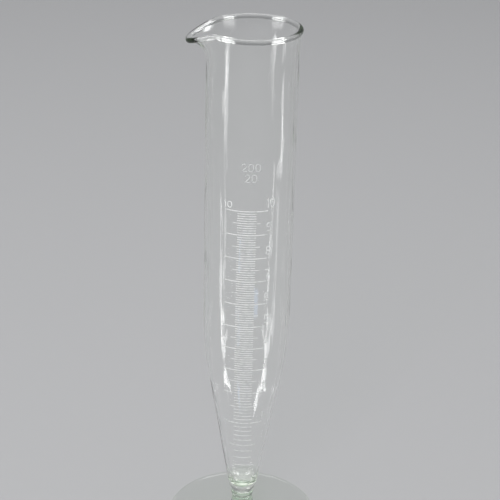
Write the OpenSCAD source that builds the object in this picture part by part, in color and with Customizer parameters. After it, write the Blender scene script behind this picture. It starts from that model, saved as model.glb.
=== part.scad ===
// Graduated conical measuring glass of a rain gauge, in millimetres, standing on its foot.
// Angles turn anticlockwise seen from above, from +X. The scale faces the -Y side.

/* [Whole glass] */
// Height from the table to the highest point of the rim
total_h = 292.5; // [255:0.5:360]

/* [Foot] */
// Diameter of the foot
foot_d = 84.5; // [68:0.5:104]
// Thickness of the foot at its rounded edge
foot_edge_t = 2.6; // [1.6:0.1:4.2]
// Thickness of the foot under the stem
foot_crown_t = 4.6; // [4.4:0.1:8]

/* [Stem and knop] */
// Height of the stem between the foot and the knop
stem_h = 10.8; // [6:0.1:16]
// Diameter of the stem at its waist, under the knop
stem_d = 11.4; // [10.8:0.1:14]
// Diameter of the stem where it spreads onto the foot
stem_base_d = 19; // [15:0.5:26]
// Height of the knop
knop_h = 3; // [2:0.1:6]
// Widest diameter of the knop
knop_d = 12.5; // [11:0.1:16]
// Diameter of the fused joints above and below the knop
joint_d = 10.6; // [7:0.1:10.8]

/* [Vessel] */
// Outer diameter of the straight tube
body_d = 47; // [43:0.1:58]
// Wall of the straight tube
wall_t = 1.6; // [1.2:0.05:2.4]
// Angle between the cone's side and the axis
cone_angle = 9.8; // [8:0.1:12]
// Wall of the cone, square to its side
cone_wall_t = 0.8; // [0.6:0.05:1.4]
// Radius of the bend between cone and tube
shoulder_r = 200; // [60:5:260]
// Outer radius of the rounded bottom
bottom_r = 7.9; // [6.5:0.1:10]
// Thickness of the glass under the lowest point of the inside
bottom_t = 4.2; // [3:0.1:8]

/* [Rim and pouring lip] */
// Diameter of the fire-polished bead of the rim
bead_d = 2.8; // [2.6:0.1:4]
// How far the middle of the bead stands out from the middle of the tube's wall
rim_flare = 0.9; // [0:0.05:2.5]
// Height of the zone that is drawn out under the bead
lip_zone_h = 20; // [14:0.5:30]
// How far the lip is pulled outwards
lip_reach = 8.8; // [3:0.1:11]
// How far the tip of the lip hangs below the rim
lip_droop = 5.5; // [0:0.1:6.5]
// Half the angle of the rim that the lip takes up
lip_half_angle = 45; // [30:1:60]
// Direction of the lip
lip_dir = 184; // [0:1:359]

/* [Scale] */
// Area of the collecting funnel's mouth in square centimetres, which sets the scale
collector_area = 200; // [100:5:240]
// Direction of the middle of the scale
scale_dir = 267.5; // [0:0.5:359.5]
// Length of the whole millimetre lines, round the glass
long_line_l = 22; // [12:0.5:28]
// Length of the half millimetre lines
half_line_l = 14.4; // [8:0.2:18]
// Length of the tenth millimetre lines
tenth_line_l = 9.8; // [5:0.2:12]
// Height of the whole millimetre lines
long_line_w = 0.42; // [0.2:0.02:0.5]
// Height of the half and tenth millimetre lines
fine_line_w = 0.32; // [0.2:0.02:0.4]
// How far the fired-on marks stand proud of the glass
mark_t = 0.08; // [0.05:0.01:0.2]

/* [Numerals] */
// Height of the numerals
digit_h = 4.9; // [3.5:0.1:6.5]
// Width of a round numeral
digit_w = 2.7; // [2:0.1:3.6]
// Width of a numeral's stroke
digit_stroke = 0.45; // [0.3:0.05:0.6]
// Gap between neighbouring numerals
digit_space = 0.8; // [0.4:0.1:1.4]
// Height of the right-hand numerals' feet above the middle of their lines
digit_lift = 1.8; // [0.8:0.1:2.4]
// Height of the left-hand numeral
left_h = 3.7; // [3:0.1:5]
// Height of the left-hand numeral's foot above the middle of its line
left_lift = 1.2; // [0.4:0.1:2.4]
// Distance round the glass from the middle of the scale to where the right-hand numerals start
right_start = 10.4; // [6:0.1:13]
// Distance round the glass from the middle of the scale to where the left-hand numeral starts
left_start = -12.2; // [-15:0.1:-9]
// Distance round the glass from the middle of the scale to the middle of the capacity numerals
mark_middle = 1.6; // [-4:0.1:4]
// Height above the scale's top line of the foot of the lower capacity numeral
mark_lift = 16; // [10:0.5:30]
// Distance between the feet of the two capacity numerals
mark_pitch = 5.8; // [5:0.1:9]
// Height of the capacity numerals
mark_h = 4.4; // [3:0.1:5]

/* [Hidden] */
round_fn = 128;
// Gap under the fired-on marks
mark_gap = 0.01;
// Tenths of a millimetre of rain on the scale
scale_steps = 100;
// Angle from the level at which the stem's flare starts on the foot
flare_start = 20;
// Steps over the bead, up the lip zone and round the rim
cap_steps = 8;
zone_steps = 6;
rim_steps = 96;
// Powers that shape the rim: the flare, the lip's pull and the lip's sides
flare_curve = 4;
pull_curve = 3;
side_curve = 1.4;
glass_tint = [0.84, 0.92, 0.89, 0.45];
thick_tint = [0.66, 0.82, 0.75, 0.6];
enamel_white = [0.95, 0.95, 0.92];
faint_white = [0.8, 0.82, 0.8];

foot_r = foot_d / 2;
stem_z = foot_crown_t;
knop_z = stem_z + stem_h;
vessel_z = knop_z + knop_h;
body_r = body_d / 2;
bead_r = bead_d / 2;
bead_z = total_h - bead_r;
join_z = bead_z - lip_zone_h;
// Where the wall runs into the bead: the angle below the bead's middle, and the share of the zone
bead_turn = acos(wall_t / bead_d);
wall_end = 1 - bead_r * sin(bead_turn) / lip_zone_h;

// Outer bottom ball, fused to the knop over the joint's diameter
joint_r = joint_d / 2;
ball_z = vessel_z + sqrt(pow(bottom_r, 2) - pow(joint_r, 2));
// Inner bottom ball, touching the inside of the cone's wall
inner_z = vessel_z + bottom_t;
inner_ball_r = (bottom_r - cone_wall_t + (inner_z - ball_z) * sin(cone_angle))
    / (1 - sin(cone_angle));
inner_ball_z = inner_z + inner_ball_r;

// Points of an arc about [0, zc], from angle a0 to a1 counted from straight down
function ball_arc(r, zc, a0, a1, n) =
    [for (i = [0:n]) let (a = a0 + (a1 - a0) * i / n) [r * sin(a), zc - r * cos(a)]];

// Points of the bend that leads the cone round a ball into a tube of radius r
function shoulder_arc(r, ball_radius, zc, n) =
    let (corner_z = zc + (r - ball_radius / cos(cone_angle)) / tan(cone_angle),
        top_z = corner_z + shoulder_r * tan(cone_angle / 2))
    [for (i = [0:n]) let (a = cone_angle * (i / n - 1))
        [r - shoulder_r + shoulder_r * cos(a), top_z + shoulder_r * sin(a)]];

// Side of the vessel from the bottom up: ball, cone, shoulder and tube
outer_side = concat(
    ball_arc(bottom_r, ball_z, asin(joint_r / bottom_r), 90 - cone_angle, 10),
    shoulder_arc(body_r, bottom_r, ball_z, 16),
    [[body_r, join_z]]);
inner_side = concat(
    ball_arc(inner_ball_r, inner_ball_z, 0, 90 - cone_angle, 16),
    shoulder_arc(body_r - wall_t, inner_ball_r, inner_ball_z, 16),
    [[body_r - wall_t, join_z]]);

// Outer radius of the vessel at height z
function outer_r(z) = lookup(z, [for (p = outer_side) [p[1], p[0]]]);

// Volume between two points of the inner side, as a slice of a cone
function slice(p, q) =
    PI / 3 * (q[1] - p[1]) * (pow(p[0], 2) + p[0] * q[0] + pow(q[0], 2));

// Height at which a volume v, in cubic millimetres, fills the slice above point p
function level_in(p, q, v) =
    let (s = (q[0] - p[0]) / (q[1] - p[1]))
    abs(s) < 1e-9 ? p[1] + v / (PI * pow(p[0], 2))
        : p[1] + (pow(pow(p[0], 3) + 3 * s * v / PI, 1 / 3) - p[0]) / s;

// Height at which the volume v fills the vessel
function level(v, i = 0) =
    let (full = slice(inner_side[i], inner_side[i + 1]))
    (v <= full || i == len(inner_side) - 2) ? level_in(inner_side[i], inner_side[i + 1], v)
        : level(v - full, i + 1);

// Heights of the scale's lines, one for each tenth of a millimetre of rain
line_z = [for (k = [0:scale_steps]) level(k * collector_area * 10)];
top_line_z = line_z[scale_steps];

// Angle round the axis that an arc of length l takes at height z
function turn(l, z) = l / outer_r(z) * 180 / PI;

// How much of the lip's pull reaches the direction a: all at its middle, none past its sides
function lip_share(a) =
    let (off = abs((a - lip_dir + 540) % 360 - 180), u = min(off / lip_half_angle, 1))
    pow((1 + cos(180 * u)) / 2, side_curve);

// Middle of the rim's wall in direction a, at the share s of the way up the drawn zone
function wall_mid(a, s) =
    let (pull = lip_share(a) * pow(s, pull_curve))
    [body_r - wall_t / 2 + rim_flare * pow(s, flare_curve) + lip_reach * pull,
        join_z + lip_zone_h * s - lip_droop * pull];

// Unit vector along the rim's wall, upwards
function wall_run(a, s) =
    let (pull = lip_share(a) * pull_curve * pow(s, pull_curve - 1),
        run = [rim_flare * flare_curve * pow(s, flare_curve - 1) + lip_reach * pull,
            lip_zone_h - lip_droop * pull])
    run / norm(run);

// Point on a face of the rim's wall in direction a, at step k: side is 1 outside, -1 inside
function wall_face(a, k, side) =
    let (s = wall_end * sin(90 * k / zone_steps), t = wall_run(a, s))
    wall_mid(a, s) + side * wall_t / 2 * [t[1], -t[0]];

// Section of the rim in direction a: up the outside, over the bead and down the inside
function rim_section(a) = let (t = wall_run(a, 1)) concat(
    [for (k = [0:zone_steps - 1]) wall_face(a, k, 1)],
    [for (k = [0:cap_steps]) let (b = (180 + 2 * bead_turn) * k / cap_steps - bead_turn)
        wall_mid(a, 1) + bead_r * (cos(b) * [t[1], -t[0]] + sin(b) * t)],
    [for (k = [zone_steps - 1:-1:0]) wall_face(a, k, -1)]);

// Points of the vessel's side between two heights, with the ends put in
function side_between(z0, z1) = concat([[outer_r(z0), z0]],
    [for (p = outer_side) if (p[1] > z0 && p[1] < z1) p], [[outer_r(z1), z1]]);

// Thin skin on the vessel between two heights and two directions
module skin(z0, z1, a0, a1) {
    side = side_between(z0, z1);
    last = len(side) - 1;
    rotate([0, 0, a0])
    rotate_extrude(angle = a1 - a0, $fn = round_fn)
    polygon(concat(
        [for (p = side) p + [mark_gap, 0]],
        [for (i = [last:-1:0]) side[i] + [mark_gap + mark_t, 0]]));
}

// One line of the scale: its height, its length round the glass and its own height
module scale_line(z, l, w) {
    a = turn(l, z) / 2;
    skin(z - w / 2, z + w / 2, scale_dir - a, scale_dir + a);
}

// Straight stroke of a numeral between two points
module bar(p, q) {
    d = q - p;
    translate(p)
    rotate(atan2(d[1], d[0]))
    translate([-digit_stroke / 2, -digit_stroke / 2])
    square([norm(d) + digit_stroke, digit_stroke]);
}

// Curved stroke of a numeral about a centre, from angle a0 to a1
module bow(centre, r, a0, a1) {
    n = ceil((a1 - a0) / 18);
    polygon(concat(
        [for (i = [0:n]) let (a = a0 + (a1 - a0) * i / n)
            centre + (r + digit_stroke / 2) * [cos(a), sin(a)]],
        [for (i = [n:-1:0]) let (a = a0 + (a1 - a0) * i / n)
            centre + (r - digit_stroke / 2) * [cos(a), sin(a)]]));
}

// Width of the numeral d
function width_of(d) = d == 1 ? digit_w / 3 : digit_w;

// One plain numeral of height h, with its lower left corner at the origin
module digit(d, h) {
    w = width_of(d) - digit_stroke;
    top = h - digit_stroke;
    r = w / 2;
    small_r = top / 4;
    translate([digit_stroke / 2, digit_stroke / 2]) {
        if (d == 0) {
            bow([r, top - r], r, 0, 180);
            bow([r, r], r, 180, 360);
            bar([0, r], [0, top - r]);
            bar([w, r], [w, top - r]);
        }
        if (d == 1) {
            bar([w, 0], [w, top]);
            bar([0, top - w], [w, top]);
        }
        if (d == 2) {
            bow([r, top - r], r, -40, 170);
            bar([0, 0], [r + r * cos(40), top - r - r * sin(40)]);
            bar([0, 0], [w, 0]);
        }
        if (d == 3) {
            bow([r, top - small_r], small_r, -90, 150);
            bow([r, small_r], small_r, -150, 90);
        }
        if (d == 4) {
            bar([w * 0.72, 0], [w * 0.72, top]);
            bar([0, top * 0.3], [w * 0.72, top]);
            bar([0, top * 0.3], [w, top * 0.3]);
        }
        if (d == 5) {
            bow([r, r], r, -140, 110);
            bar([w * 0.1, r * 1.75], [w * 0.1, top]);
            bar([w * 0.1, top], [w * 0.9, top]);
        }
        if (d == 6) loop_and_tail(w, top);
        if (d == 7) {
            bar([0, top], [w, top]);
            bar([w * 0.3, 0], [w, top]);
        }
        if (d == 8) {
            for (y = [small_r, top - small_r]) {
                bow([r, y], small_r, 0, 180);
                bow([r, y], small_r, 180, 360);
            }
        }
        if (d == 9)
            translate([w, top])
            rotate(180)
            loop_and_tail(w, top);
    }
}

// The form that 6 and 9 share: a closed loop with a bowed tail
module loop_and_tail(w, top) {
    r = w / 2;
    bow([r, r], r, 0, 180);
    bow([r, r], r, 180, 360);
    bar([0, r], [0, top - r]);
    bow([r, top - r], r, 40, 180);
}

// Distance along a row of numerals from its start to where its numeral i starts
function digit_start(digits, i) =
    i == 0 ? 0 : digit_start(digits, i - 1) + width_of(digits[i - 1]) + digit_space;

// A row of numerals laid on the glass, from start round the glass, with its foot at height z
module number(digits, start, z, h) {
    span = turn(1, z + h / 2);
    row_w = digit_start(digits, len(digits));
    intersection() {
        for (i = [0:len(digits) - 1]) {
            w = width_of(digits[i]);
            rotate([0, 0, scale_dir - 270 + (start + digit_start(digits, i) + w / 2) * span])
            translate([-w / 2, 0, z])
            rotate([90, 0, 0])
            linear_extrude(body_d)
            digit(digits[i], h);
        }
        skin(z - digit_stroke, z + h + digit_stroke,
            scale_dir + (start - digit_w) * span, scale_dir + (start + row_w + digit_w) * span);
    }
}

// Pressed foot: flat underneath, round at the edge and rising to the stem
module foot() {
    edge_r = foot_edge_t / 2;
    rise = foot_crown_t - foot_edge_t;
    crown_r = stem_base_d / 2;
    run = foot_r - edge_r - crown_r;
    color(glass_tint)
    rotate_extrude($fn = round_fn)
    polygon(concat(
        [[0, 0]],
        [for (a = [0:15:180]) [foot_r - edge_r + edge_r * sin(a), edge_r - edge_r * cos(a)]],
        [for (i = [1:12]) [foot_r - edge_r - run * i / 12,
            foot_edge_t + rise * pow(sin(90 * i / 12), 2)]],
        [[0, foot_crown_t]]));
}

// Short solid stem that spreads onto the foot
module stem() {
    base_r = stem_base_d / 2;
    waist_r = stem_d / 2;
    color(thick_tint)
    rotate_extrude($fn = round_fn)
    polygon(concat(
        [[0, stem_z]],
        [for (i = [0:14]) let (a = flare_start + (90 - flare_start) * i / 14)
            [waist_r + (base_r - waist_r) * (1 - sin(a)) / (1 - sin(flare_start)),
                stem_z + stem_h * (1 - cos(a) / cos(flare_start))]],
        [[0, knop_z]]));
}

// Solid ring of glass between the stem and the vessel
module knop() {
    color(thick_tint)
    rotate_extrude($fn = round_fn)
    polygon(concat(
        [[0, knop_z]],
        [for (a = [-90:15:90]) [joint_r + (knop_d / 2 - joint_r) * cos(a),
            knop_z + knop_h / 2 * (1 + sin(a))]],
        [[0, vessel_z]]));
}

// Blown vessel: thick rounded bottom, cone, shoulder and straight tube
module vessel() {
    last = len(inner_side) - 1;
    color(glass_tint)
    rotate_extrude($fn = round_fn)
    polygon(concat(
        [[0, vessel_z]],
        outer_side,
        [for (i = [last:-1:0]) inner_side[i]]));
}

// Drawn-out end of the vessel: the flared rim with its bead and pouring lip
module pouring_rim() {
    rows = [for (i = [0:rim_steps - 1]) rim_section(360 * i / rim_steps)];
    m = len(rows[0]);
    points = [for (i = [0:rim_steps - 1]) for (p = rows[i])
        [p[0] * cos(360 * i / rim_steps), p[0] * sin(360 * i / rim_steps), p[1]]];
    faces = [for (i = [0:rim_steps - 1]) for (j = [0:m - 1])
        let (i2 = (i + 1) % rim_steps, j2 = (j + 1) % m,
            a = i * m + j, b = i2 * m + j, c = i2 * m + j2, d = i * m + j2)
        for (f = [[a, d, c], [a, c, b]]) f];
    color(glass_tint)
    polyhedron(points, faces);
}

// Lines of the whole millimetres
module long_lines() {
    color(enamel_white)
    for (k = [10:10:scale_steps]) scale_line(line_z[k], long_line_l, long_line_w);
}

// Lines of the half millimetres
module half_lines() {
    color(enamel_white)
    for (k = [5:10:scale_steps]) scale_line(line_z[k], half_line_l, fine_line_w);
}

// Lines of the tenths between them
module tenth_lines() {
    color(enamel_white)
    for (k = [1:scale_steps]) {
        if (k % 5 != 0) scale_line(line_z[k], tenth_line_l, fine_line_w);
    }
}

// Numerals at the right-hand ends of the long lines
module numerals() {
    color(enamel_white)
    for (n = [1:10])
        number(n < 10 ? [n] : [1, 0], right_start, line_z[n * 10] + digit_lift, digit_h);
}

// Numeral at the left-hand end of the top line
module left_numeral() {
    color(enamel_white)
    number([1, 0], left_start, top_line_z + left_lift, left_h);
}

// Faint capacity numerals above the scale
module capacity_mark() {
    rows = [[2, 0], [2, 0, 0]];
    color(faint_white)
    for (i = [0:1]) {
        row_w = digit_start(rows[i], len(rows[i])) - digit_space;
        number(rows[i], mark_middle - row_w / 2, top_line_z + mark_lift + mark_pitch * i, mark_h);
    }
}

foot();
stem();
knop();
vessel();
pouring_rim();
long_lines();
half_lines();
tenth_lines();
numerals();
left_numeral();
capacity_mark();
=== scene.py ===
import math

import bpy
from mathutils import Matrix, Vector, noise


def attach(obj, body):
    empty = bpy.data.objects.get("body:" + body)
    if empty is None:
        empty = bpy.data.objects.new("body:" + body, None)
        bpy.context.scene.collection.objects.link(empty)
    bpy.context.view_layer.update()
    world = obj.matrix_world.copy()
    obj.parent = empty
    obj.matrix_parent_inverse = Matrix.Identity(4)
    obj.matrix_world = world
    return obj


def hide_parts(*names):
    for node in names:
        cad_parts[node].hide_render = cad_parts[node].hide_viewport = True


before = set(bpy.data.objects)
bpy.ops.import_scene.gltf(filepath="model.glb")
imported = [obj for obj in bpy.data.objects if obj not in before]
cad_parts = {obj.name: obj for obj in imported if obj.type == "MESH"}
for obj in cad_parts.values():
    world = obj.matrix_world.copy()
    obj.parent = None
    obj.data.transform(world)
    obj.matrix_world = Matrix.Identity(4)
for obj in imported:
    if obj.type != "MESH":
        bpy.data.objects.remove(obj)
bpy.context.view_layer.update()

# The camera. It looks down at the glass from the front, about an arm's length away, and leans
# a degree and a half to one side.
MM = 0.001
picture_px = 500
camera_focal_px = 1450.4
camera_place = Vector((1.01, -699.4, 496.1)) * MM
camera_tilt = math.radians(25.01)
camera_lean = math.radians(1.446)

lens = bpy.data.cameras.new("camera")
lens.sensor_width = 36
lens.lens = camera_focal_px * lens.sensor_width / picture_px
camera = bpy.data.objects.new("camera", lens)
camera.matrix_world = (Matrix.Translation(camera_place)
    @ Matrix.Rotation(math.radians(90) - camera_tilt, 4, "X") @ Matrix.Rotation(camera_lean, 4, "Z"))
bpy.context.scene.collection.objects.link(camera)
bpy.context.scene.camera = camera
bpy.context.scene.view_settings.view_transform = "Standard"

# Light goes through and along many walls of glass before it comes out, and a low limit on its
# bounces would turn the thick parts black.
bounce_limit = 40
for kind in ("max_bounces", "glossy_bounces", "transmission_bounces", "transparent_max_bounces"):
    setattr(bpy.context.scene.cycles, kind, bounce_limit)

# The table and the studio. The table is a wide plain sheet that curves up into a wall far
# behind the glass on every side. Soft lamps stand in front and overhead, and strips of diffuser
# at the sides make the highlights in the glass.
table_colour = (0.46, 0.46, 0.465, 1)
room_colour = (0.3, 0.31, 0.325, 1)
sweep_steps = 12
table_sides = 96
table_r = 2200
sweep_r = 900
wall_top = 2600
table_gap = 0.05
merge_within = 0.002


def turned(name, outline, around):
    """A form turned about the upright axis. The outline is a row of (radius, height) points in mm."""
    bpy.ops.object.select_all(action="DESELECT")
    bpy.ops.mesh.primitive_plane_add(size=MM, location=(0, 0, 0))
    piece = bpy.context.object
    piece.name = name
    bpy.ops.object.mode_set(mode="EDIT")
    bpy.ops.mesh.select_all(action="SELECT")
    bpy.ops.mesh.merge(type="CENTER")
    here = Vector((0, 0, 0))
    for i, (r, z) in enumerate(outline):
        there = Vector((r, 0, z)) * MM
        if i == 0:
            bpy.ops.transform.translate(value=there - here)
        else:
            bpy.ops.mesh.extrude_region_move(TRANSFORM_OT_translate={"value": there - here})
        here = there
    bpy.ops.mesh.select_all(action="SELECT")
    bpy.ops.mesh.spin(steps=around, angle=2 * math.pi, center=(0, 0, 0), axis=(0, 0, 1))
    bpy.ops.mesh.select_all(action="SELECT")
    bpy.ops.mesh.remove_doubles(threshold=merge_within * MM)
    bpy.ops.mesh.normals_make_consistent(inside=False)
    bpy.ops.object.mode_set(mode="OBJECT")
    return piece


def arc(r0, z0, r, a0, a1, n):
    """Points of an arc about (r0, z0), with angles in degrees counted from the outward level."""
    return [(r0 + r * math.cos(math.radians(a0 + (a1 - a0) * i / n)),
             z0 + r * math.sin(math.radians(a0 + (a1 - a0) * i / n))) for i in range(n + 1)]


sweep = arc(table_r, sweep_r - table_gap, sweep_r, -90, 0, sweep_steps)
table = turned("table", [(0, -table_gap)] + sweep + [(table_r + sweep_r, wall_top)], table_sides)
bpy.ops.object.shade_smooth()
bpy.ops.object.mode_set(mode="EDIT")
bpy.ops.mesh.select_all(action="SELECT")
bpy.ops.mesh.normals_make_consistent(inside=True)
bpy.ops.object.mode_set(mode="OBJECT")
paper = bpy.data.materials.new("table_sheet")
paper.use_nodes = True
nodes, links = paper.node_tree.nodes, paper.node_tree.links
shader = nodes["Principled BSDF"]
shader.inputs["Base Color"].default_value = table_colour
shader.inputs["Roughness"].default_value = 0.85
shader.inputs["Specular IOR Level"].default_value = 0
place = nodes.new("ShaderNodeTexCoord")
fleck = nodes.new("ShaderNodeTexNoise")
fleck.inputs["Scale"].default_value = 900
lift = nodes.new("ShaderNodeBump")
lift.inputs["Strength"].default_value = 0.15
lift.inputs["Distance"].default_value = 0.0002
links.new(place.outputs["Object"], fleck.inputs["Vector"])
links.new(fleck.outputs["Fac"], lift.inputs["Height"])
links.new(lift.outputs["Normal"], shader.inputs["Normal"])
table.data.materials.append(paper)

world = bpy.data.worlds.new("room")
bpy.context.scene.world = world
world.use_nodes = True
world.node_tree.nodes["Background"].inputs["Color"].default_value = room_colour
world.node_tree.nodes["Background"].inputs["Strength"].default_value = 1.0


def facing(place, target):
    """The turn that points a lamp's front from its place to a target."""
    return (Vector(target) - Vector(place)).to_track_quat("-Z", "Y").to_euler()


def softbox(name, place, target, width, height, watts):
    """A soft lamp that faces a target point. Sizes and places are in mm."""
    light = bpy.data.lights.new(name, "AREA")
    light.shape = "RECTANGLE"
    light.size = width * MM
    light.size_y = height * MM
    light.energy = watts
    stand = bpy.data.objects.new(name, light)
    stand.location = Vector(place) * MM
    stand.rotation_euler = facing(place, target)
    stand.visible_camera = False
    bpy.context.scene.collection.objects.link(stand)


softbox("front_softbox", (-450, -2000, 1700), (0, 0, 100), 1300, 1000, 42)
softbox("overhead_softbox", (-100, 300, 2400), (0, 0, 0), 2000, 2000, 32)

# In the glass the front lamp would only be a hard white spot on the rim.
bpy.data.objects["front_softbox"].visible_glossy = False
bpy.data.objects["front_softbox"].visible_transmission = False

side_fade = 0.22
end_fade = 0.12
louvre_full_angle = math.radians(8.88)
louvre_shut_angle = math.radians(12.04)


def maths(tree, operation, *values):
    """The result of a Math node on these values, each a plain number or another node's socket."""
    step = tree.nodes.new("ShaderNodeMath")
    step.operation = operation
    for socket, value in zip(step.inputs, values):
        if isinstance(value, bpy.types.NodeSocket):
            tree.links.new(value, socket)
        else:
            socket.default_value = value
    return step.outputs["Value"]


def gloss_strip(name, place, width, height, levels, lean=0, louvre_rise=None, colour=(1, 1, 1)):
    """A diffuser that faces the glass and only shows as a reflection in it. Its edges fade out, and
    levels are (share of the height, brightness) pairs from its lower end up. It leans sideways by an
    angle in degrees. Louvres, where it has them, send its light up at one angle and stop the rest."""
    bpy.ops.object.select_all(action="DESELECT")
    bpy.ops.mesh.primitive_plane_add(size=1, location=(0, 0, 0))
    panel = bpy.context.object
    panel.name = name
    panel.scale = (width * MM, height * MM, 1)
    aim_z = place[2] + math.hypot(place[0], place[1]) * math.tan(math.radians(louvre_rise or 0))
    aimed = facing(place, (0, 0, aim_z)).to_matrix()
    panel.rotation_euler = (aimed @ Matrix.Rotation(math.radians(lean), 3, "Z")).to_euler()
    panel.location = Vector(place) * MM
    made = bpy.data.materials.new(name)
    made.use_nodes = True
    tree = made.node_tree
    nodes, links = tree.nodes, tree.links
    nodes.remove(nodes["Principled BSDF"])
    on_panel = nodes.new("ShaderNodeTexCoord")
    split = nodes.new("ShaderNodeSeparateXYZ")
    links.new(on_panel.outputs["Object"], split.inputs["Vector"])
    fades = []
    for axis, soft in (("X", side_fade), ("Y", end_fade)):
        edge = nodes.new("ShaderNodeMapRange")
        edge.interpolation_type = "SMOOTHSTEP"
        edge.inputs["From Min"].default_value = 0.5
        edge.inputs["From Max"].default_value = 0.5 - soft
        links.new(maths(tree, "ABSOLUTE", split.outputs[axis]), edge.inputs["Value"])
        fades.append(edge.outputs["Result"])
    rising = nodes.new("ShaderNodeValToRGB")
    top = max(level for at, level in levels)
    stops = rising.color_ramp.elements
    while len(stops) < len(levels):
        stops.new(0.5)
    for stop, (at, level) in zip(stops, levels):
        stop.position = at
        stop.color = (level / top, level / top, level / top, 1)
    links.new(maths(tree, "ADD", split.outputs["Y"], 0.5), rising.inputs["Fac"])
    spread = maths(tree, "MULTIPLY", maths(tree, "MULTIPLY", *fades), rising.outputs["Color"])
    path = nodes.new("ShaderNodeLightPath")
    reflected = nodes.new("ShaderNodeMapRange")
    reflected.inputs["To Max"].default_value = top
    links.new(path.outputs["Glossy Depth"], reflected.inputs["Value"])
    if louvre_rise is not None:
        angle = nodes.new("ShaderNodeLayerWeight")
        louvres = nodes.new("ShaderNodeMapRange")
        louvres.inputs["From Min"].default_value = 1 - math.cos(louvre_shut_angle)
        louvres.inputs["From Max"].default_value = 1 - math.cos(louvre_full_angle)
        louvres.inputs["To Max"].default_value = top
        links.new(angle.outputs["Facing"], louvres.inputs["Value"])
        links.new(louvres.outputs["Result"], reflected.inputs["To Max"])
    glow = nodes.new("ShaderNodeEmission")
    glow.inputs["Color"].default_value = (*colour, 1)
    links.new(maths(tree, "MULTIPLY", spread, reflected.outputs["Result"]), glow.inputs["Strength"])
    clear = nodes.new("ShaderNodeBsdfTransparent")
    total = nodes.new("ShaderNodeAddShader")
    links.new(glow.outputs["Emission"], total.inputs[0])
    links.new(clear.outputs["BSDF"], total.inputs[1])
    links.new(total.outputs["Shader"], nodes["Material Output"].inputs["Surface"])
    panel.data.materials.append(made)
    panel.visible_camera = False
    panel.visible_diffuse = False
    panel.visible_shadow = False


# Two wide diffusers show on the rim and on the top of the tube.
wide_levels = [(0, 2), (0.3, 3), (0.5, 12), (1, 12)]
for side, x in (("left", -365), ("right", 365)):
    gloss_strip(f"{side}_wide_softbox", (x, -160, 420), 300, 440, wide_levels)

# Narrow strips run on down the sides of the tube, and a small bluish one shows in its middle.
gloss_strip("left_strip", (-211, -75, 66), 17, 132, [(0, 5), (0.35, 4), (1, 3)], lean=20.6)
gloss_strip("right_strip", (217, -58, 66), 26, 128, [(0, 2), (1, 1.5)], lean=-8.6)
gloss_strip("left_upper_strip", (-199, -104, 190), 50, 84, [(0, 1), (0.4, 2), (1, 5)])
gloss_strip("right_upper_strip", (220, -36, 172), 30, 80, [(0, 1.5), (0.4, 5), (1, 1.5)])
gloss_strip("front_low_strip", (115, -265, 13), 50, 26, [(0, 1.6), (1, 1.6)], colour=(0.45, 0.65, 1))

# Low strips with louvres show in the far wall of the cone. They stand on a ring round the glass,
# and each has the angle from the front, height, width, length, lean and rise of its louvres.
low_ring_r = 225
low_levels = [(0, 6), (1, 6)]
for name, around, height, width, length, lean, louvre_rise in (
        ("left_low_strip_1", -83, 17, 12, 54, -68, 14),
        ("left_low_strip_2", -74, 31, 14, 30, -68, 11),
        ("left_low_strip_3", -64.3, 29.3, 20, 60, 76.4, 10),
        ("left_low_strip_4", -50.9, 16.5, 22, 60, 76.4, 10),
        ("right_low_strip_1", 82.5, 22.8, 9, 40, 67.6, 13),
        ("right_low_strip_2", 73.6, 30.3, 12, 50, 88, 11),
        ("right_low_strip_3", 62, 25.9, 14, 60, -80.3, 10)):
    angle = math.radians(around)
    spot = (low_ring_r * math.sin(angle), -low_ring_r * math.cos(angle), height)
    gloss_strip(name, spot, width, length, low_levels, lean, louvre_rise)

# The foot. It is a disc of clear glass, pressed flat and fire-polished at the edge, and it
# rises a little to the stem that is fused on its middle.
foot_r = 42.25
foot_edge_t = 2.6
foot_crown_t = 4.6
stem_base_r = 9.5
foot_sides = 192
foot_edge_steps = 14
foot_rise_steps = 24
ripple_size = 260
shadow_tint = (0.98, 0.985, 0.98, 1)
glass_crease = math.radians(40)


def node_group(name, inputs, outputs):
    """A new node group and its two end nodes. Inputs and outputs are (name, kind of value) pairs."""
    group = bpy.data.node_groups.new(name, "ShaderNodeTree")
    for way, sockets in (("INPUT", inputs), ("OUTPUT", outputs)):
        for socket, kind in sockets:
            group.interface.new_socket(socket, in_out=way, socket_type=f"NodeSocket{kind}")
    return group, group.nodes.new("NodeGroupInput"), group.nodes.new("NodeGroupOutput")


# Each glass has soft ripples along its length from the making, and a thin film from handling.
worked_glass, given, result = node_group("worked_glass", [("Ripple Size", "Float"), ("Haze", "Float")],
    [("Ripple", "Float"), ("Roughness", "Float")])
nodes, links = worked_glass.nodes, worked_glass.links
place = nodes.new("ShaderNodeTexCoord")
stretch = nodes.new("ShaderNodeMapping")
stretch.inputs["Scale"].default_value = (1, 1, 0.12)
wave = nodes.new("ShaderNodeTexNoise")
wave.inputs["Detail"].default_value = 1
film = nodes.new("ShaderNodeTexNoise")
film.inputs["Scale"].default_value = 140
film.inputs["Detail"].default_value = 6
film_range = nodes.new("ShaderNodeMapRange")
film_range.inputs["From Min"].default_value = 0.5
film_range.inputs["From Max"].default_value = 0.75
links.new(place.outputs["Object"], stretch.inputs["Vector"])
links.new(stretch.outputs["Vector"], wave.inputs["Vector"])
links.new(given.outputs["Ripple Size"], wave.inputs["Scale"])
links.new(wave.outputs["Fac"], result.inputs["Ripple"])
links.new(place.outputs["Object"], film.inputs["Vector"])
links.new(film.outputs["Fac"], film_range.inputs["Value"])
links.new(given.outputs["Haze"], film_range.inputs["To Max"])
links.new(film_range.outputs["Result"], result.inputs["Roughness"])


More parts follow.
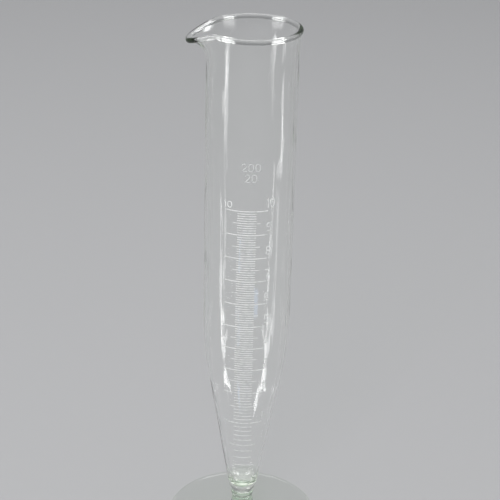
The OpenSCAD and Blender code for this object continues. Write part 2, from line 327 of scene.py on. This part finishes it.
def glass_finish(name, tint, tint_depth, ripple, haze):
    """Fire-polished glass. Its tint deepens with its thickness, and shadows through it are soft."""
    made = bpy.data.materials.new(name)
    made.use_nodes = True
    nodes, links = made.node_tree.nodes, made.node_tree.links
    shader = nodes["Principled BSDF"]
    shader.inputs["Base Color"].default_value = (1, 1, 1, 1)
    shader.inputs["Metallic"].default_value = 0
    shader.inputs["Transmission Weight"].default_value = 1
    shader.inputs["IOR"].default_value = 1.5
    surface = nodes.new("ShaderNodeGroup")
    surface.node_tree = worked_glass
    surface.inputs["Ripple Size"].default_value = ripple_size
    surface.inputs["Haze"].default_value = haze
    lift = nodes.new("ShaderNodeBump")
    lift.inputs["Strength"].default_value = ripple
    lift.inputs["Distance"].default_value = 0.0003
    links.new(surface.outputs["Ripple"], lift.inputs["Height"])
    links.new(lift.outputs["Normal"], shader.inputs["Normal"])
    links.new(surface.outputs["Roughness"], shader.inputs["Roughness"])
    depth = nodes.new("ShaderNodeVolumeAbsorption")
    depth.inputs["Color"].default_value = tint
    depth.inputs["Density"].default_value = tint_depth
    links.new(depth.outputs["Volume"], nodes["Material Output"].inputs["Volume"])
    path = nodes.new("ShaderNodeLightPath")
    soft_shadow = nodes.new("ShaderNodeBsdfTransparent")
    soft_shadow.inputs["Color"].default_value = shadow_tint
    choose = nodes.new("ShaderNodeMixShader")
    passing = [path.outputs["Is Shadow Ray"], path.outputs["Is Diffuse Ray"]]
    links.new(maths(made.node_tree, "MAXIMUM", *passing), choose.inputs["Fac"])
    links.new(shader.outputs["BSDF"], choose.inputs[1])
    links.new(soft_shadow.outputs["BSDF"], choose.inputs[2])
    links.new(choose.outputs["Shader"], nodes["Material Output"].inputs["Surface"])
    return made


pressed_glass = glass_finish("pressed_glass", (0.6, 0.82, 0.45, 1), 8, 0.08, 0.06)
foot_edge_r = foot_edge_t / 2
foot_flat_r = foot_r - foot_edge_r
foot_outline = [(0, 0)] + arc(foot_flat_r, foot_edge_r, foot_edge_r, -90, 90, foot_edge_steps)
for i in range(1, foot_rise_steps + 1):
    share = i / foot_rise_steps
    foot_outline.append((
        foot_flat_r - (foot_flat_r - stem_base_r) * share,
        foot_edge_t + (foot_crown_t - foot_edge_t) * math.sin(math.pi / 2 * share) ** 2))
foot_outline.append((0, foot_crown_t))
foot = turned("pressed_foot", foot_outline, foot_sides)
bpy.ops.object.shade_smooth_by_angle(angle=glass_crease)
foot.data.materials.append(pressed_glass)
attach(foot, "root")
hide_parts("foot")

# The stem. It is a short solid rod of greenish glass that spreads like a trumpet where it is
# fused to the foot.
stem_h = 10.8
stem_waist_r = 5.7
flare_start = math.radians(20)
stem_sides = 128
stem_steps = 20
fused = 0.02
knop_z = foot_crown_t + stem_h
green_glass = glass_finish("green_glass", (0.5, 0.81, 0.46, 1), 18, 0.2, 0.05)
stem_outline = [(0, foot_crown_t - fused)]
for i in range(stem_steps + 1):
    a = flare_start + (math.pi / 2 - flare_start) * i / stem_steps
    spread = (1 - math.sin(a)) / (1 - math.sin(flare_start))
    height = 1 - math.cos(a) / math.cos(flare_start)
    stem_outline.append((
        stem_waist_r + (stem_base_r - stem_waist_r) * spread,
        foot_crown_t + stem_h * height - (fused if i == 0 else 0)))
stem_outline.append((0, knop_z))
stem = turned("solid_stem", stem_outline, stem_sides)
bpy.ops.object.shade_smooth_by_angle(angle=glass_crease)
stem.data.materials.append(green_glass)
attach(stem, "root")
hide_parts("stem")

# The knop. It is a gather of glass pressed into a ring between the stem and the vessel, with
# a fused joint above and below.
knop_h = 3
knop_r = 6.25
joint_r = 5.3
vessel_z = knop_z + knop_h
knop_outline = [(0, knop_z - fused)]
for a in range(-90, 91, 10):
    knop_outline.append((
        joint_r + (knop_r - joint_r) * math.cos(math.radians(a)),
        knop_z + knop_h / 2 * (1 + math.sin(math.radians(a))) - (fused if a == -90 else 0)))
knop_outline.append((0, vessel_z))
knop = turned("knop_ring", knop_outline, stem_sides)
bpy.ops.object.shade_smooth_by_angle(angle=glass_crease)
knop.data.materials.append(green_glass)
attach(knop, "root")
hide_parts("knop")

# The vessel with its pouring rim. It is blown and drawn from one piece of tube: a thick round
# bottom, a long cone, a soft shoulder and a straight tube. The mouth is flared, melted to a
# round bead and pulled out on the left into a lip.
bottom_r = 7.9
bottom_t = 4.2
cone_angle = math.radians(9.8)
cone_wall_t = 0.8
shoulder_r = 200
body_r = 23.5
wall_t = 1.6
total_h = 292.5
bead_r = 1.4
lip_zone_h = 20
rim_flare = 0.9
lip_reach = 8.8
lip_droop = 5.5
lip_half_angle = 45
lip_dir = 184
flare_curve = 4
pull_curve = 3
side_curve = 1.4
ring_pitch = 3
join_margin = 0.5
ball_steps = 20
shoulder_steps = 24
rim_steps = 22
bead_steps = 26
vessel_sides = 240
outer_wave = 0.13
inner_wave = 0.2
lower_inner_share = 0.3
wave_width = 9
wave_length = 16
face_shift = 40
wave_start_z = 135
wave_full_z = 160
scale_top_z = 207
outer_full_z = 226
wave_fade_z = 279
wave_end_z = 288
vessel_crease = math.radians(50)
bead_z = total_h - bead_r
join_z = bead_z - lip_zone_h


def side_of_vessel(ball_r, ball_z, first, tube_r):
    """Ball, cone and shoulder of one face of the vessel's wall, from the bottom up."""
    corner = ball_z + (tube_r - ball_r / math.cos(cone_angle)) / math.tan(cone_angle)
    top = corner + shoulder_r * math.tan(cone_angle / 2)
    lean = -math.degrees(cone_angle)
    return (arc(0, ball_z, ball_r, first, lean, ball_steps)
        + arc(tube_r - shoulder_r, top, shoulder_r, lean, 0, shoulder_steps))


def rings(r, z0, z1):
    """Rings every few millimetres along the straight tube, so that its uneven wall can be shaped."""
    n = round((z1 - z0) / ring_pitch)
    return [(r, z0 + (z1 - z0) * i / n) for i in range(1, n)]


def lip_share(a):
    """How much of the lip's pull reaches the direction a, in degrees."""
    off = min(abs((a - lip_dir + 540) % 360 - 180) / lip_half_angle, 1)
    return ((1 + math.cos(math.pi * off)) / 2) ** side_curve


def wall_mid(share, s):
    """(radius, height) of the middle of the rim's wall. The share s runs from 0 to 1 at the bead."""
    pull = share * s ** pull_curve
    return Vector((body_r - wall_t / 2 + rim_flare * s ** flare_curve + lip_reach * pull,
                   join_z + lip_zone_h * s - lip_droop * pull))


def wall_out(share, s):
    """The unit vector square to the rim's wall there, outwards."""
    pull = share * pull_curve * s ** (pull_curve - 1)
    run = Vector((rim_flare * flare_curve * s ** (flare_curve - 1) + lip_reach * pull,
                  lip_zone_h - lip_droop * pull)).normalized()
    return Vector((run.y, -run.x))


# The rim's rows run up its outside, over the bead and down its inside.
bead_turn = math.acos(wall_t / 2 / bead_r)
wall_end = 1 - bead_r * math.sin(bead_turn) / lip_zone_h
wall_rows = [wall_end * math.sin(math.pi / 2 * k / rim_steps) for k in range(rim_steps)]
bead_rows = [(math.pi + 2 * bead_turn) * k / bead_steps - bead_turn for k in range(bead_steps + 1)]
rim_rows = ([("wall", s, 1) for s in wall_rows] + [("bead", s, 0) for s in bead_rows]
    + [("wall", s, -1) for s in reversed(wall_rows)])


def rim_point(row, share):
    """(radius, height) of one row of the rim where this share of the lip's pull arrives."""
    part, s, side = row
    if part == "wall":
        return wall_mid(share, s) + side * wall_t / 2 * wall_out(share, s)
    out = wall_out(share, 1)
    along = Vector((-out.y, out.x))
    return wall_mid(share, 1) + bead_r * (math.cos(s) * out + math.sin(s) * along)


ball_z = vessel_z + math.sqrt(bottom_r ** 2 - joint_r ** 2)
inner_z = vessel_z + bottom_t
inner_ball_r = ((bottom_r - cone_wall_t + (inner_z - ball_z) * math.sin(cone_angle))
    / (1 - math.sin(cone_angle)))
joint_angle = -90 + math.degrees(math.asin(joint_r / bottom_r))
outer_side = side_of_vessel(bottom_r, ball_z, joint_angle, body_r)
inner_side = side_of_vessel(inner_ball_r, inner_z + inner_ball_r, -90, body_r - wall_t)
outer_side[0] = (joint_r, vessel_z - fused)
outer_side += rings(body_r, outer_side[-1][1], join_z)
inner_side += rings(body_r - wall_t, inner_side[-1][1], join_z)
clear_glass = glass_finish("clear_glass", (0.6, 0.82, 0.45, 1), 10, 0.35, 0.06)
rim_at_rest = [rim_point(row, 0) for row in rim_rows]
vessel_outline = [(0, vessel_z - fused)] + outer_side + [tuple(p) for p in rim_at_rest] + inner_side[::-1]
vessel = turned("graduated_vessel", vessel_outline, vessel_sides)


def step_up(x, x0, x1):
    """0 below x0, 1 above x1, and smooth between."""
    t = min(max((x - x0) / (x1 - x0), 0), 1)
    return t * t * (3 - 2 * t)


def unevenness(a, z, side):
    """How far the wall is off its true circle in mm: the drawn tube's waves, which the flame that
    made the rim has deepened above the scale. The outside is true where the scale is printed."""
    upper = step_up(z, scale_top_z, outer_full_z)
    inner_share = lower_inner_share + (1 - lower_inner_share) * upper
    depth = outer_wave * upper if side > 0 else inner_wave * inner_share
    depth *= step_up(z, wave_start_z, wave_full_z) * (1 - step_up(z, wave_fade_z, wave_end_z))
    round_x, round_y = body_r * math.cos(a), body_r * math.sin(a)
    where = Vector((round_x / wave_width, round_y / wave_width, z / wave_length + face_shift * side))
    return depth * noise.noise(where)


for v in vessel.data.vertices:
    r, z = math.hypot(v.co.x, v.co.y) / MM, v.co.z / MM
    a = math.atan2(v.co.y, v.co.x)
    side = 1 if r > body_r - wall_t / 2 else -1
    if z > join_z + join_margin:
        here = Vector((r, z))
        near = min(range(len(rim_rows)), key=lambda k: (rim_at_rest[k] - here).length)
        r, z = rim_point(rim_rows[near], lip_share(math.degrees(a)))
        side = rim_rows[near][2]
    if z > wave_start_z and side:
        r += unevenness(a, z, side)
    v.co = Vector((r * math.cos(a), r * math.sin(a), z)) * MM
vessel.data.update()
bpy.ops.object.shade_smooth_by_angle(angle=vessel_crease)
vessel.data.materials.append(clear_glass)
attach(vessel, "root")
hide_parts("vessel", "pouring_rim")

# The scale's lines and numerals. They are white enamel, printed on the glass and fired. Years of
# wiping have thinned the enamel in patches, so that the glass shows through, and it is grainy.
worn_enamel, given, result = node_group("worn_enamel",
    [("Fresh Color", "Color"), ("Worn Color", "Color"), ("Cover", "Float"), ("Worn Cover", "Float")],
    [("Color", "Color"), ("Alpha", "Float"), ("Roughness", "Float"), ("Grain", "Float")])
nodes, links = worn_enamel.nodes, worn_enamel.links
place = nodes.new("ShaderNodeTexCoord")
patch = nodes.new("ShaderNodeTexNoise")
patch.inputs["Scale"].default_value = 420
patch.inputs["Detail"].default_value = 4
worn = nodes.new("ShaderNodeMapRange")
worn.inputs["From Min"].default_value = 0.5
worn.inputs["From Max"].default_value = 0.68
grain = nodes.new("ShaderNodeTexNoise")
grain.inputs["Scale"].default_value = 5200
grain.inputs["Detail"].default_value = 2
shade = nodes.new("ShaderNodeMix")
shade.data_type = "RGBA"
cover = nodes.new("ShaderNodeMapRange")
dull = nodes.new("ShaderNodeMapRange")
dull.inputs["To Min"].default_value = 0.62
dull.inputs["To Max"].default_value = 0.9
links.new(place.outputs["Object"], patch.inputs["Vector"])
links.new(place.outputs["Object"], grain.inputs["Vector"])
links.new(patch.outputs["Fac"], worn.inputs["Value"])
links.new(worn.outputs["Result"], shade.inputs["Factor"])
links.new(given.outputs["Fresh Color"], shade.inputs["A"])
links.new(given.outputs["Worn Color"], shade.inputs["B"])
links.new(shade.outputs["Result"], result.inputs["Color"])
links.new(worn.outputs["Result"], cover.inputs["Value"])
links.new(given.outputs["Cover"], cover.inputs["To Min"])
links.new(given.outputs["Worn Cover"], cover.inputs["To Max"])
links.new(cover.outputs["Result"], result.inputs["Alpha"])
links.new(grain.outputs["Fac"], dull.inputs["Value"])
links.new(dull.outputs["Result"], result.inputs["Roughness"])
links.new(grain.outputs["Fac"], result.inputs["Grain"])


def enamel_finish(name, fresh, worn, cover, worn_cover):
    """Matt fired enamel, which covers less of the glass where it is worn."""
    made = bpy.data.materials.new(name)
    made.use_nodes = True
    nodes, links = made.node_tree.nodes, made.node_tree.links
    shader = nodes["Principled BSDF"]
    shader.inputs["Specular IOR Level"].default_value = 0.1
    surface = nodes.new("ShaderNodeGroup")
    surface.node_tree = worn_enamel
    surface.inputs["Fresh Color"].default_value = fresh
    surface.inputs["Worn Color"].default_value = worn
    surface.inputs["Cover"].default_value = cover
    surface.inputs["Worn Cover"].default_value = worn_cover
    lift = nodes.new("ShaderNodeBump")
    lift.inputs["Strength"].default_value = 0.5
    lift.inputs["Distance"].default_value = 0.00003
    links.new(surface.outputs["Color"], shader.inputs["Base Color"])
    links.new(surface.outputs["Alpha"], shader.inputs["Alpha"])
    links.new(surface.outputs["Roughness"], shader.inputs["Roughness"])
    links.new(surface.outputs["Grain"], lift.inputs["Height"])
    links.new(lift.outputs["Normal"], shader.inputs["Normal"])
    return made


line_enamel = enamel_finish("line_enamel", (0.9, 0.91, 0.9, 1), (0.8, 0.82, 0.81, 1), 1, 0.7)
numeral_enamel = enamel_finish("numeral_enamel", (0.9, 0.91, 0.9, 1), (0.78, 0.8, 0.79, 1), 1, 0.55)
for name, finish in (
        ("long_lines", line_enamel),
        ("half_lines", line_enamel),
        ("tenth_lines", line_enamel),
        ("numerals", numeral_enamel),
        ("left_numeral", numeral_enamel)):
    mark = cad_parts[name]
    mark.data.materials.clear()
    mark.data.materials.append(finish)

# The mark above the scale. It is the same enamel, but so thin and worn that it is hardly seen.
faint_enamel = enamel_finish("faint_enamel", (0.82, 0.84, 0.83, 1), (0.72, 0.74, 0.73, 1), 0.5, 0.25)
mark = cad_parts["capacity_mark"]
mark.data.materials.clear()
mark.data.materials.append(faint_enamel)
